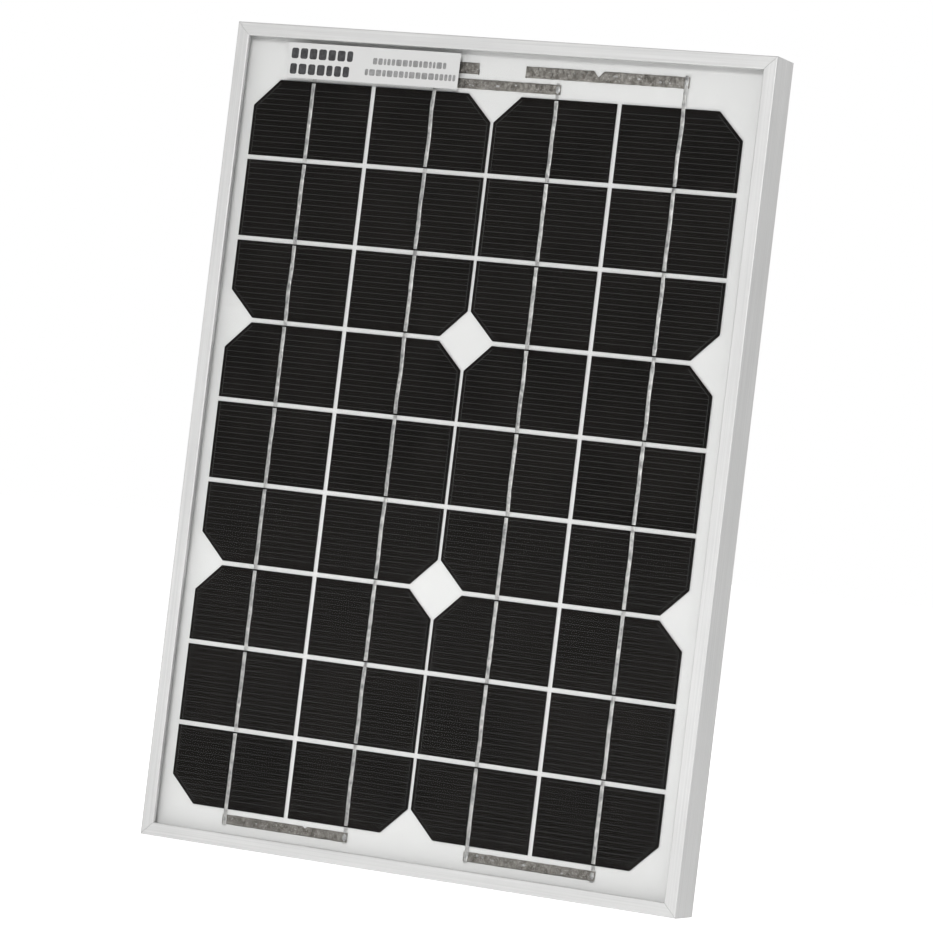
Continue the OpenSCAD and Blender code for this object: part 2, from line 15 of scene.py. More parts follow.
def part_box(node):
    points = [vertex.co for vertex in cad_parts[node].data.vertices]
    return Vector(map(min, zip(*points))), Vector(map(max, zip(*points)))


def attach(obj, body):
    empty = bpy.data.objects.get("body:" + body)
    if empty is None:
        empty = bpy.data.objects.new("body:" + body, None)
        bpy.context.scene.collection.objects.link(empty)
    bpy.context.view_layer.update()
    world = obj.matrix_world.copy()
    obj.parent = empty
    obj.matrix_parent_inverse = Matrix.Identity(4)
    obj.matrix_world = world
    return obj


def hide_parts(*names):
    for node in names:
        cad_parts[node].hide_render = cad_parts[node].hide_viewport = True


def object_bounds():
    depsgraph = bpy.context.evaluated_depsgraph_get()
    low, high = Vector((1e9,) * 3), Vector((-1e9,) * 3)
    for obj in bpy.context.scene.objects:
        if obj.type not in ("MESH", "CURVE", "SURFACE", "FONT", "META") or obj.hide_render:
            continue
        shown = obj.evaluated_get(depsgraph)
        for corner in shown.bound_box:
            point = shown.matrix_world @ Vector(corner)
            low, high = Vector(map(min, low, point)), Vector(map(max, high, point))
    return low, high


MM = 0.001
COLUMNS = 4
BLOCK_ROWS = 3
PANEL_BODY = "panel"

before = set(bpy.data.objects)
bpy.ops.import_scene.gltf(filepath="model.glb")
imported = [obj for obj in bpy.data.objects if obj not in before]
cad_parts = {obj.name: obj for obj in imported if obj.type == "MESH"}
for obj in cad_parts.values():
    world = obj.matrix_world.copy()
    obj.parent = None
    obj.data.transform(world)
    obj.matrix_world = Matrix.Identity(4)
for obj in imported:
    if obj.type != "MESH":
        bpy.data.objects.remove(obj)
cad_low, cad_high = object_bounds()


# ---------------------------------------------------------------- node material helpers


class Shader:
    """A node material under construction, with short calls for the nodes it uses."""

    def __init__(self, name, **principled):
        self.material = bpy.data.materials.new(name)
        self.material.use_nodes = True
        self.tree = self.material.node_tree
        self.bsdf = self.tree.nodes["Principled BSDF"]
        self.output = self.tree.nodes["Material Output"]
        for key, value in principled.items():
            self.set(self.bsdf, key.replace("_", " ").title().replace("Ior", "IOR"), value)

    def set(self, node, socket, value):
        """Gives a socket a value, or joins it to another node's socket."""
        target = node.inputs[socket]
        if isinstance(value, bpy.types.NodeSocket):
            self.tree.links.new(value, target)
        elif isinstance(value, tuple) and len(value) == 3 and target.type == "RGBA":
            target.default_value = (*value, 1.0)
        else:
            target.default_value = value

    def node(self, kind, sockets=None, **settings):
        """Adds a node, with values or links for its sockets and values for its own settings."""
        made = self.tree.nodes.new("ShaderNode" + kind)
        for key, value in settings.items():
            setattr(made, key, value)
        for key, value in (sockets or {}).items():
            self.set(made, key, value)
        return made

    def place(self, scale=(1, 1, 1)):
        """Position on the object in metres, stretched by scale."""
        source = self.node("TexCoord").outputs["Object"]
        return self.node("Mapping", {"Vector": source, "Scale": scale}).outputs["Vector"]

    def noise(self, scale, stretch=(1, 1, 1), detail=4.0, roughness=0.55):
        """Soft noise from 0 to 1, mostly near 0.5."""
        sockets = {"Vector": self.place(stretch), "Scale": scale, "Detail": detail, "Roughness": roughness}
        return self.node("TexNoise", sockets).outputs["Fac"]

    def cells(self, scale):
        """Distance from the middle of the nearest of many scattered cells."""
        sockets = {"Vector": self.place(), "Scale": scale}
        return self.node("TexVoronoi", sockets).outputs["Distance"]

    def span(self, value, low, high, start=0.0, end=1.0):
        """Maps value from start..end to low..high, clamped."""
        sockets = {"Value": value, "From Min": start, "From Max": end, "To Min": low, "To Max": high}
        return self.node("MapRange", sockets).outputs["Result"]

    def blend(self, factor, first, second):
        mixed = self.node("MixRGB", {"Fac": factor, "Color1": first, "Color2": second})
        return mixed.outputs["Color"]

    def math(self, operation, first, second=0.0):
        made = self.node("Math", operation=operation)
        self.set(made, 0, first)
        self.set(made, 1, second)
        return made.outputs["Value"]

    def bump(self, height, strength, distance, under=None):
        """A bumped normal, on top of the normal under it if one is given."""
        sockets = {"Height": height, "Strength": strength, "Distance": distance}
        made = self.node("Bump", sockets)
        if under is not None:
            self.set(made, "Normal", under)
        return made.outputs["Normal"]

    def finish(self, colour, roughness, normal=None):
        """Joins the surface's colour, roughness and bumped normal, and gives the material."""
        self.set(self.bsdf, "Base Color", colour)
        self.set(self.bsdf, "Roughness", roughness)
        if normal is not None:
            self.set(self.bsdf, "Normal", normal)
        return self.material


def grey(value):
    return (value, value, value)


# ---------------------------------------------------------------- materials


def anodised_aluminium(name, along):
    """Clear anodised extrusion: fine die lines along the rail, a soft cloudiness and small rubs."""
    s = Shader(name, metallic=0.45)
    lines = tuple(9.0 if axis == along else 1500.0 for axis in "XYZ")
    streak = s.noise(1.0, lines, detail=6.0, roughness=0.7)
    cloud = s.noise(18.0, detail=5.0)
    speck = s.noise(900.0, detail=3.0)
    tone = s.math("ADD", s.math("MULTIPLY", streak, 0.75), s.math("MULTIPLY", cloud, 0.25))
    colour = s.blend(s.span(tone, 0.0, 1.0, 0.3, 0.7), (0.55, 0.55, 0.547), (0.73, 0.73, 0.726))
    rough = s.math("ADD", s.span(streak, 0.44, 0.54, 0.3, 0.7), s.span(speck, -0.03, 0.05, 0.3, 0.7))
    normal = s.bump(streak, 0.25, 0.00005)
    return s.finish(colour, rough, s.bump(speck, 0.08, 0.00004, normal))


def pressed_aluminium():
    """Plain grey aluminium of the corner keys."""
    s = Shader("pressed_aluminium", metallic=0.9)
    grain = s.noise(500.0, (1, 1, 4), detail=4.0)
    colour = s.blend(grain, grey(0.45), grey(0.62))
    return s.finish(colour, s.span(grain, 0.4, 0.6), s.bump(grain, 0.3, 0.0001))


def clear_glass():
    """Thin-walled glass: what is behind shows straight through, under a weak reflection of the room."""
    s = Shader("cover_glass")
    s.tree.nodes.remove(s.bsdf)
    smudge = s.noise(14.0, detail=6.0, roughness=0.65)
    glossy = s.node("BsdfGlossy", {"Color": grey(0.9), "Roughness": s.span(smudge, 0.04, 0.11, 0.35, 0.7)})
    clear = s.node("BsdfTransparent", {"Color": (0.99, 0.991, 0.99)})
    fresnel = s.node("Fresnel", {"IOR": 1.3}).outputs["Fac"]
    front = s.math("SUBTRACT", 1.0, s.node("NewGeometry").outputs["Backfacing"])
    factor = s.math("MULTIPLY", s.math("MULTIPLY", fresnel, front), 0.22)
    mixed = s.node("MixShader", {0: factor, 1: clear.outputs[0], 2: glossy.outputs[0]})
    s.set(s.output, "Surface", mixed.outputs[0])
    return s.material


def clear_film():
    """Cured encapsulant: clear, with the faintest haze."""
    s = Shader("clear_film")
    s.tree.nodes.remove(s.bsdf)
    haze = s.noise(60.0, detail=3.0)
    tint = s.blend(haze, grey(0.994), grey(1.0))
    clear = s.node("BsdfTransparent", {"Color": tint})
    s.set(s.output, "Surface", clear.outputs[0])
    return s.material


def silicon():
    """Near-black textured silicon. Each cell has its own slight tone."""
    s = Shader("cell_silicon", specular_ior_level=0.0)
    own = s.node("NewGeometry").outputs["Random Per Island"]
    cloud = s.noise(35.0, detail=5.0)
    grain = s.noise(2500.0, detail=2.0)
    base = s.blend(own, (0.0076, 0.007, 0.0066), (0.0104, 0.0096, 0.009))
    colour = s.blend(s.span(cloud, 0.0, 1.0, 0.35, 0.65), base, (0.0112, 0.0102, 0.0094))
    rough = s.span(grain, 0.42, 0.62, 0.3, 0.7)
    return s.finish(colour, rough, s.bump(grain, 0.15, 0.00002))


def printed_silver():
    """Screen-printed silver paste of the fingers."""
    s = Shader("printed_silver", metallic=0.35)
    fade = s.noise(160.0, detail=3.0)
    colour = s.blend(s.span(fade, 0.0, 1.0, 0.3, 0.7), grey(0.021), grey(0.036))
    return s.finish(colour, s.span(fade, 0.5, 0.7))


def tinned(name, dark, light, patch_scale, bump_distance):
    """Hot-dipped tin: patches of dull and bright metal with shallow puddles."""
    s = Shader(name, metallic=0.8)
    patch = s.noise(patch_scale, detail=5.0, roughness=0.7)
    puddle = s.cells(patch_scale * 1.7)
    fleck = s.noise(patch_scale * 6, detail=3.0)
    colour = s.blend(s.span(patch, 0.0, 1.0, 0.36, 0.64), dark, light)
    colour = s.blend(s.span(fleck, 0.0, 0.5, 0.56, 0.72), colour, grey(0.85))
    rough = s.span(patch, 0.28, 0.55, 0.3, 0.7)
    normal = s.bump(puddle, 0.6, bump_distance)
    return s.finish(colour, rough, s.bump(patch, 0.5, bump_distance, normal))


def embossed_film(name, colour, light, depth=0.00005):
    """White backsheet or label film with a shallow orange-peel emboss."""
    s = Shader(name, specular_ior_level=0.35)
    cloud = s.noise(9.0, detail=4.0)
    emboss = s.cells(900.0)
    tone = s.blend(s.span(cloud, 0.0, 1.0, 0.3, 0.7), colour, light)
    return s.finish(tone, s.span(cloud, 0.42, 0.56), s.bump(emboss, 0.35, depth))


def moulded_plastic(name, dark, light, texture=1400.0, depth=0.00006, level=0.4):
    """Injection-moulded plastic with a spark-eroded surface, rubbed a little lighter on high spots."""
    s = Shader(name, specular_ior_level=level)
    grain = s.noise(texture, detail=3.0)
    cloud = s.noise(40.0, detail=5.0)
    worn = s.span(s.node("NewGeometry").outputs["Pointiness"], 0.0, 0.5, 0.5, 0.62)
    colour = s.blend(s.span(cloud, 0.0, 1.0, 0.35, 0.65), dark, light)
    colour = s.blend(worn, colour, tuple(min(1.0, c * 2.2 + 0.02) for c in light))
    rough = s.math("ADD", s.span(cloud, 0.42, 0.55, 0.3, 0.7), s.span(grain, -0.04, 0.06, 0.3, 0.7))
    return s.finish(colour, rough, s.bump(grain, 0.45, depth))


def soft_rubber(name, dark, light, texture=700.0):
    """Matt rubber, foam or soft plastic, with a little dust in places."""
    s = Shader(name, specular_ior_level=0.3)
    grain = s.noise(texture, detail=4.0)
    dust = s.noise(60.0, detail=5.0, roughness=0.7)
    colour = s.blend(s.span(dust, 0.0, 1.0, 0.45, 0.7), dark, light)
    return s.finish(colour, s.span(grain, 0.6, 0.8, 0.3, 0.7), s.bump(grain, 0.4, 0.00008))


def plated_metal(name, dark, light):
    """Bright metal with fine scratches."""
    s = Shader(name, metallic=1.0)
    cloud = s.noise(300.0, detail=5.0)
    scratch = s.noise(1.0, (3000, 200, 3000), detail=4.0)
    colour = s.blend(s.span(cloud, 0.0, 1.0, 0.3, 0.7), dark, light)
    rough = s.span(scratch, 0.2, 0.42, 0.3, 0.7)
    return s.finish(colour, rough, s.bump(scratch, 0.25, 0.00004))


def ink(name, dark, light):
    """Printed ink: slightly uneven, with a faint halftone mottle."""
    s = Shader(name, specular_ior_level=0.3)
    mottle = s.noise(700.0, detail=4.0)
    colour = s.blend(s.span(mottle, 0.0, 1.0, 0.35, 0.7), dark, light)
    return s.finish(colour, s.span(mottle, 0.4, 0.55), s.bump(mottle, 0.1, 0.00002))


# texture, depth and specular level of extruded insulation
SMOOTH_SKIN = (1500.0, 0.00002, 0.5)
PRINT_FILM_DEPTH = 0.00002

MATERIALS = {
    "rail_x": anodised_aluminium("anodised_along_x", "X"),
    "rail_z": anodised_aluminium("anodised_along_z", "Z"),
    "key": pressed_aluminium(),
    "glass": clear_glass(),
    "film": clear_film(),
    "silicon": silicon(),
    "silver": printed_silver(),
    "ribbon": tinned("tinned_ribbon", grey(0.26), (0.64, 0.635, 0.62), 330.0, 0.0004),
    "bus": tinned("tinned_bus", (0.115, 0.105, 0.092), (0.3, 0.287, 0.264), 420.0, 0.0003),
    "solder": tinned("solder", grey(0.28), grey(0.5), 500.0, 0.0003),
    "backsheet": embossed_film("backsheet_film", (0.662, 0.662, 0.658), (0.69, 0.69, 0.686)),
    "label": embossed_film("label_film", (0.57, 0.57, 0.566), (0.6, 0.6, 0.596), PRINT_FILM_DEPTH),
    "rating": embossed_film("rating_film", (0.55, 0.56, 0.57), (0.63, 0.64, 0.65), PRINT_FILM_DEPTH),
    "dark_ink": ink("dark_ink", (0.03, 0.03, 0.032), (0.07, 0.07, 0.074)),
    "grey_ink": ink("grey_ink", grey(0.2), grey(0.3)),
    "seal": soft_rubber("seal_foam", grey(0.58), grey(0.68)),
    "gasket": soft_rubber("gasket_rubber", grey(0.02), grey(0.05)),
    "silicone": soft_rubber("silicone_bead", grey(0.66), grey(0.76), 300.0),
    "box": moulded_plastic("box_plastic", grey(0.012), grey(0.02)),
    "gland": moulded_plastic("gland_plastic", grey(0.014), grey(0.024), 900.0),
    "tie": moulded_plastic("tie_nylon", grey(0.016), grey(0.03), 1800.0, 0.00003, 0.5),
    "sheath": soft_rubber("cable_sheath", grey(0.012), grey(0.03), 1100.0),
    "red": moulded_plastic("red_insulation", (0.42, 0.012, 0.008), (0.52, 0.02, 0.014), *SMOOTH_SKIN),
    "black": moulded_plastic("black_insulation", grey(0.012), grey(0.022), *SMOOTH_SKIN),
    "diode": moulded_plastic("diode_epoxy", grey(0.015), grey(0.028), 1100.0),
    "strand": plated_metal("tinned_strand", grey(0.45), grey(0.7)),
    "steel": plated_metal("zinc_steel", grey(0.5), (0.7, 0.7, 0.68)),
    "brass": plated_metal("terminal_brass", (0.6, 0.43, 0.18), (0.78, 0.6, 0.3)),
}


# ---------------------------------------------------------------- geometry helpers

SMOOTH_BELOW = math.radians(32)
BEVEL_ABOVE = math.radians(40)
WELD_DISTANCE = 0.000002
SHEET_CLEARANCE = 0.02 * MM


def smooth_by_angle(angle):
    """A small modifier tree that shades smooth except across edges sharper than angle."""
    tree = bpy.data.node_groups.new("smooth_by_angle", "GeometryNodeTree")
    tree.interface.new_socket("Geometry", in_out="INPUT", socket_type="NodeSocketGeometry")
    tree.interface.new_socket("Geometry", in_out="OUTPUT", socket_type="NodeSocketGeometry")
    nodes, links = tree.nodes, tree.links
    start, end = nodes.new("NodeGroupInput"), nodes.new("NodeGroupOutput")
    soft, crease = nodes.new("GeometryNodeSetShadeSmooth"), nodes.new("GeometryNodeSetShadeSmooth")
    crease.domain = "EDGE"
    crease.inputs["Shade Smooth"].default_value = False
    edge, sharper = nodes.new("GeometryNodeInputMeshEdgeAngle"), nodes.new("FunctionNodeCompare")
    sharper.operation = "GREATER_THAN"
    sharper.inputs[1].default_value = angle
    links.new(start.outputs[0], soft.inputs["Geometry"])
    links.new(soft.outputs[0], crease.inputs["Geometry"])
    links.new(edge.outputs["Unsigned Angle"], sharper.inputs[0])
    links.new(sharper.outputs[0], crease.inputs["Selection"])
    links.new(crease.outputs[0], end.inputs[0])
    return tree


SMOOTHING = smooth_by_angle(SMOOTH_BELOW)


def add_finish_modifiers(thing, bevel=0.0, segments=2):
    """Welds split vertices, rounds sharp edges if a bevel is given, and shades rounds smooth."""
    weld = thing.modifiers.new("weld", "WELD")
    weld.merge_threshold = WELD_DISTANCE
    if bevel:
        edge = thing.modifiers.new("bevel", "BEVEL")
        edge.width = bevel
        edge.segments = segments
        edge.limit_method = "ANGLE"
        edge.angle_limit = BEVEL_ABOVE
        edge.use_clamp_overlap = True
    smooth = thing.modifiers.new("smooth", "NODES")
    smooth.node_group = SMOOTHING
    level = thing.modifiers.new("level", "WEIGHTED_NORMAL")
    level.weight = 100
    level.keep_sharp = True


def shrink(thing, amount):
    """Draws a clear sheet's faces in a hair, so that none of them lies in the face of its neighbour."""
    displace = thing.modifiers.new("shrink", "DISPLACE")
    displace.strength = -amount
    displace.mid_level = 0.0


def dress(node, material, bevel=0.0, segments=2):
    """Gives a CAD node its material, rounded edges and clean shading."""
    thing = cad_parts[node]
    thing.data.materials.clear()
    thing.data.materials.append(MATERIALS[material])
    if "custom_normal" in thing.data.attributes:
        thing.data.attributes.remove(thing.data.attributes["custom_normal"])
    add_finish_modifiers(thing, bevel, segments)
    return thing


def piece(name, mesh, materials):
    """Makes a visual piece of a bmesh, and lets it ride on the panel's body."""
    bmesh.ops.recalc_face_normals(mesh, faces=mesh.faces)
    data = bpy.data.meshes.new(name)
    mesh.to_mesh(data)
    mesh.free()
    for material in materials:
        data.materials.append(MATERIALS[material])
    thing = bpy.data.objects.new(name, data)
    bpy.context.scene.collection.objects.link(thing)
    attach(thing, PANEL_BODY)
    return thing


def stand_in(node, name, mesh, materials):
    """Makes a piece that is shown in place of a CAD node."""
    made = piece(name, mesh, materials)
    add_finish_modifiers(made)
    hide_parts(node)


def rounded(point):
    """The point to the nearest micrometre, so that split vertices of one corner are the same."""
    return tuple(round(c, 6) for c in point)


def islands(node):
    """The corner points of each separate solid of a CAD node."""
    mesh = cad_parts[node].data
    keys = [rounded(v.co) for v in mesh.vertices]
    parent = {key: key for key in keys}

    def root(key):
        while parent[key] != key:
            parent[key] = parent[parent[key]]
            key = parent[key]
        return key

    for polygon in mesh.polygons:
        first = root(keys[polygon.vertices[0]])
        for index in polygon.vertices[1:]:
            parent[root(keys[index])] = first
    groups = {}
    for key in sorted(parent):
        groups.setdefault(root(key), []).append(Vector(key))
    return list(groups.values())


def top_down(node):
    """The separate solids of a node, from the highest to the lowest."""
    return sorted(islands(node), key=lambda points: -extent(points)[1].z)


def extent(points):
    """Lowest and highest corner of the points."""
    low = Vector(tuple(min(p[i] for p in points) for i in range(3)))
    high = Vector(tuple(max(p[i] for p in points) for i in range(3)))
    return low, high


def add_block(mesh, low, high):
    """Adds a closed box between two corners."""
    corners = [mesh.verts.new(corner) for corner in itertools.product(*zip(low, high))]
    for quad in ((0, 1, 3, 2), (4, 6, 7, 5), (0, 4, 5, 1), (2, 3, 7, 6), (0, 2, 6, 4), (1, 5, 7, 3)):
        mesh.faces.new([corners[i] for i in quad])


def add_sweep(mesh, rings, material=0):
    """Adds a closed tube through rings of points, capped at both ends."""
    made = [[mesh.verts.new(p) for p in ring] for ring in rings]
    count = len(made[0])
    for first, second in zip(made, made[1:]):
        for i in range(count):
            j = (i + 1) % count
            mesh.faces.new((first[i], first[j], second[j], second[i])).material_index = material
    mesh.faces.new(list(reversed(made[0]))).material_index = material
    mesh.faces.new(made[-1]).material_index = material


# ---------------------------------------------------------------- cells and fingers

FINGER_PITCH = 2.25 * MM
FINGER_W = 0.2 * MM
FINGER_H = 0.014 * MM
EDGE_LINE_W = 0.26 * MM
PRINT_MARGIN = 1.35 * MM
CUT_MARGIN = 0.12 * MM
# an edge's normal has a share of about 0, 0.7 or 1 along an axis: these tell them apart
SOME, ALL = 0.1, 0.9


def cell_outline(points):
    """Corners of a cell in X and Z, in order round its centre."""
    low, high = extent(points)
    centre_x, centre_z = (low.x + high.x) / 2, (low.z + high.z) / 2
    corners = {(p.x, p.z) for p in points}
    return sorted((Vector(c) for c in corners), key=lambda c: math.atan2(c.y - centre_z, c.x - centre_x))


def print_edges(outline, outer_side, row):
    """Edges of the printed area as (point, outward normal, whether a line runs along it).

    The print stays further back from the wafer's own edges than from the edges where it was cut.
    """
    edges = []
    for i, start in enumerate(outline):
        along = (outline[(i + 1) % len(outline)] - start).normalized()
        normal = Vector((along.y, -along.x))
        diagonal = abs(normal.x) > SOME and abs(normal.y) > SOME
        outer = normal.x * outer_side > ALL
        block_end = (normal.y > ALL and row == 0) or (normal.y < -ALL and row == BLOCK_ROWS - 1)
        margin = PRINT_MARGIN if diagonal or outer or block_end else CUT_MARGIN
        edges.append((start - normal * margin, normal, diagonal or outer))
    return edges


def crossing(first, second):
    """Where two print edges meet."""
    (a, n, _), (b, m, _) = first, second
    det = n.x * m.y - n.y * m.x
    da, db = n.dot(a), m.dot(b)
    return Vector(((da * m.y - db * n.y) / det, (n.x * db - m.x * da) / det))


def add_line(mesh, start, end, width, y):
    """A printed line between two points in X and Z. It lies at depth y and is crowned towards the front."""
    along = (end - start).normalized()
    across = Vector((-along.y, along.x)) * width / 2
    rings = []
    for p in (start, end):
        rings.append([
            (p.x - across.x, y, p.y - across.y),
            (p.x - across.x / 2, y - FINGER_H, p.y - across.y / 2),
            (p.x + across.x / 2, y - FINGER_H, p.y + across.y / 2),
            (p.x + across.x, y, p.y + across.y),
        ])
    add_sweep(mesh, rings)


def finger_ends(edges, left, right, z):
    """Left and right end of the finger at height z, or None above and below the printed area."""
    for point, normal, _ in edges:
        room = normal.dot(point) - normal.y * z
        if normal.x > SOME:
            right = min(right, room / normal.x)
        elif normal.x < -SOME:
            left = max(left, room / normal.x)
        elif room < 0:
            return None
    return left, right


def print_cell(mesh, points, outer_side, row):
    """The fingers of one cell, and the thin line inside the wafer's outer edges."""
    low, high = extent(points)
    edges = print_edges(cell_outline(points), outer_side, row)
    middle = (low.z + high.z) / 2
    count = int((high.z - low.z) / FINGER_PITCH)
    for k in range(count):
        z = middle + (k - (count - 1) / 2) * FINGER_PITCH
        ends = finger_ends(edges, low.x, high.x, z)
        if ends:
            add_line(mesh, Vector((ends[0], z)), Vector((ends[1], z)), FINGER_W, low.y)
    for i, edge in enumerate(edges):
        if edge[2]:
            start = crossing(edges[i - 1], edge)
            end = crossing(edge, edges[(i + 1) % len(edges)])
            add_line(mesh, start, end, EDGE_LINE_W, low.y)


def printed_fingers(node, column):
    """The silver print on all cells of a string. The wafer's outer side is on the left of an even column."""
    mesh = bmesh.new()
    outer_side = -1 if column % 2 == 0 else 1
    for index, points in enumerate(top_down(node)):
        print_cell(mesh, points, outer_side, index % BLOCK_ROWS)
    piece("fingers_%d" % (column + 1), mesh, ["silver"])


# ---------------------------------------------------------------- ribbons and bus strips

RIBBON_STEP = 0.9 * MM
RIBBON_SWAY = 0.34 * MM
RIBBON_RIPPLE = 0.07 * MM
RIBBON_DIVE = 0.8 * MM
RIBBON_EXTRA = 0.6 * MM


def waver(seed, position):
    """Smooth unevenness from about -1 to 1 along a strip, the same each run."""
    return noise.noise(Vector((seed, position, 0)))


def ribbon_rings(x, path, width, thickness, seed):
    """Rings of a soft-edged flat ribbon along a path of (y, z) points, swaying a little to each side."""
    rings = []
    for y, z in path:
        sway = RIBBON_SWAY * waver(seed, z * 75)
        wide = width / 2 * (1 + 0.24 * waver(seed + 9, z * 320))
        lift = RIBBON_RIPPLE * waver(seed + 5, z * 700)
        half = thickness / 2
        rings.append([
            (x + sway - wide, y, z),
            (x + sway - wide * 0.82, y - half - lift * 0.5, z),
            (x + sway - wide * 0.3, y - half * 1.1 - lift, z),
            (x + sway + wide * 0.3, y - half * 1.1 - lift, z),
            (x + sway + wide * 0.82, y - half - lift * 0.5, z),
            (x + sway + wide, y, z),
            (x + sway + wide * 0.8, y + half, z),
            (x + sway - wide * 0.8, y + half, z),
        ])
    return rings


def fine_path(points):
    """The same (y, z) path with points no further apart than a ribbon step."""
    path = [points[0]]
    for (y0, z0), (y1, z1) in zip(points, points[1:]):
        steps = max(1, round(math.hypot(y1 - y0, z1 - z0) / RIBBON_STEP))
        path += [(y0 + (y1 - y0) * i / steps, z0 + (z1 - z0) * i / steps) for i in range(1, steps + 1)]
    return path


def ribbon_path(low, high, front, back, thickness, runs_down):
    """Where a ribbon runs, as (y, z) points: along one side of a cell, or through the gap between two."""
    if high.y - low.y < 2 * thickness:
        y = front if low.y < front else back
        return [(y, high.z + RIBBON_EXTRA), (y, low.z - RIBBON_EXTRA)]
    first, second = (front, back) if runs_down else (back, front)
    over, under = (RIBBON_EXTRA, 0.0) if runs_down else (0.0, RIBBON_EXTRA)
    middle = (low.z + high.z) / 2
    return [
        (first, high.z + over),
        (first, middle + RIBBON_DIVE),
        (second, middle - RIBBON_DIVE),
        (second, low.z - under),
    ]


def soft_ribbon(node, column, cell_front, cell_back):
    """The ribbons of one column: each lies on a cell, dives through the gap and ends behind the next."""
    mesh = bmesh.new()
    thickness = cell_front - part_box(node)[0].y
    front, back = cell_front - thickness / 2, cell_back + thickness / 2
    for index, points in enumerate(top_down(node)):
        low, high = extent(points)
        path = fine_path(ribbon_path(low, high, front, back, thickness, column % 2 == 0))
        x, width = (low.x + high.x) / 2, high.x - low.x
        add_sweep(mesh, ribbon_rings(x, path, width, thickness, column * 31 + index))
    stand_in(node, node + "_soft", mesh, ["ribbon"])


BUS_STEP = 0.6 * MM
BUS_WAVER = 0.13 * MM
BUS_LIFT = 0.05 * MM
BUS_T = 0.2 * MM
FOOT_T = 0.3 * MM
SOLDER = 1
JOINT_W = 1.9 * MM
JOINT_T = 0.34 * MM
JOINT_LIFT = 0.02 * MM
SPOT_T = 0.12 * MM
SPOT_SIZES = (0.4, 1.0)  # in millimetres
SPOT_MARGIN = 4 * MM


def bus_rings(low, high, seed, notch=None):
    """Rings of a bus strip along X with slightly uneven edges and, where given, a notch in the top edge."""
    rings = []
    steps = round((high.x - low.x) / BUS_STEP)
    for i in range(steps + 1):
        x = low.x + (high.x - low.x) * i / steps
        bottom = low.z + BUS_WAVER * waver(seed, x * 260)
        top = high.z + BUS_WAVER * waver(seed + 7, x * 260)
        if notch is not None:
            centre, half_width, depth = notch
            top -= depth * max(0.0, 1 - abs(x - centre) / half_width)
        lift = BUS_LIFT * waver(seed + 3, x * 520)
        soft = (top - bottom) * 0.08
        rings.append([
            (x, high.y, bottom),
            (x, low.y, bottom + soft),
            (x, low.y - abs(lift), (top + bottom) / 2),
            (x, low.y, top - soft),
            (x, high.y, top),
        ])
    return rings


def add_solder(mesh, centre, width, height, thickness, seed):
    """An irregular flattened blob of solder round a point."""
    size = Vector((width, thickness, height)) / 2
    blob = bmesh.ops.create_icosphere(mesh, subdivisions=3, radius=1.0)["verts"]
    for vert in blob:
        swell = 1 + 0.28 * noise.noise(vert.co * 1.6 + Vector((seed, 0, 0)))
        vert.co = centre + vert.co * size * Vector((swell, 1, swell))
        for face in vert.link_faces:
            face.material_index = SOLDER


def add_output_tab(mesh, strip_low, strip_high, foot):
    """The tab at a strip's inner end that passes back through the sheets, and its foot on the terminal."""
    foot_low, foot_high = extent(foot)
    on_right = strip_low.x + strip_high.x > 0
    edge = strip_low.x if on_right else strip_high.x - BUS_T
    add_block(mesh, (edge, strip_high.y, strip_low.z), (edge + BUS_T, foot_high.y, foot_high.z))
    add_block(mesh, (foot_low.x, foot_high.y - BUS_T, foot_low.z), foot_high)


def soft_bus(node, joints, seed, notch=None, spots=0):
    """A bus strip with solder joints at the given places and a few stray bright spots."""
    mesh = bmesh.new()
    points = islands(node)[0]
    low, high = extent(points)
    flat_back = low.y + BUS_T + WELD_DISTANCE
    strip_low, strip_high = extent([p for p in points if p.y < flat_back])
    add_sweep(mesh, bus_rings(strip_low, strip_high, seed, notch))
    if high.y > flat_back:
        add_output_tab(mesh, strip_low, strip_high, [p for p in points if p.y > high.y - FOOT_T])
    middle = (strip_low.z + strip_high.z) / 2
    tall = strip_high.z - strip_low.z
    for k, x in enumerate(joints):
        centre = Vector((x, strip_low.y - JOINT_LIFT, middle))
        add_solder(mesh, centre, JOINT_W, tall * 0.7, JOINT_T, seed + k)
    draw = random.Random(seed)
    for k in range(spots):
        x = draw.uniform(strip_low.x + SPOT_MARGIN, strip_high.x - SPOT_MARGIN)
        z = draw.uniform(strip_low.z + tall * 0.25, strip_high.z - tall * 0.25)
        size = draw.uniform(*SPOT_SIZES) * MM
        add_solder(mesh, Vector((x, strip_low.y, z)), size * 1.4, size, SPOT_T, seed + 40 + k)
    stand_in(node, node + "_soft", mesh, ["bus", "solder"])


# ---------------------------------------------------------------- labels

PRINT_T = 0.03 * MM
THICK_BLOCK = (2.6 * MM, 3.6 * MM)
THIN_BLOCK = (1.1 * MM, 2.6 * MM)
DARK, GREY = 0, 1
# start, end, bottom and top as shares of the label, shortest and longest block, material
LABEL_ROWS = (
    (0.02, 0.4, 0.55, 0.85, THICK_BLOCK, DARK),
    (0.02, 0.4, 0.11, 0.41, THICK_BLOCK, DARK),
    (0.5, 0.94, 0.53, 0.71, THIN_BLOCK, GREY),
    (0.46, 0.985, 0.21, 0.39, THIN_BLOCK, GREY),
)
RULE_W = 0.25 * MM
RULE_INSET = 3 * MM
RULED_ROWS = 7
RULED_COLUMNS = (0.0, 0.55, 1.0)


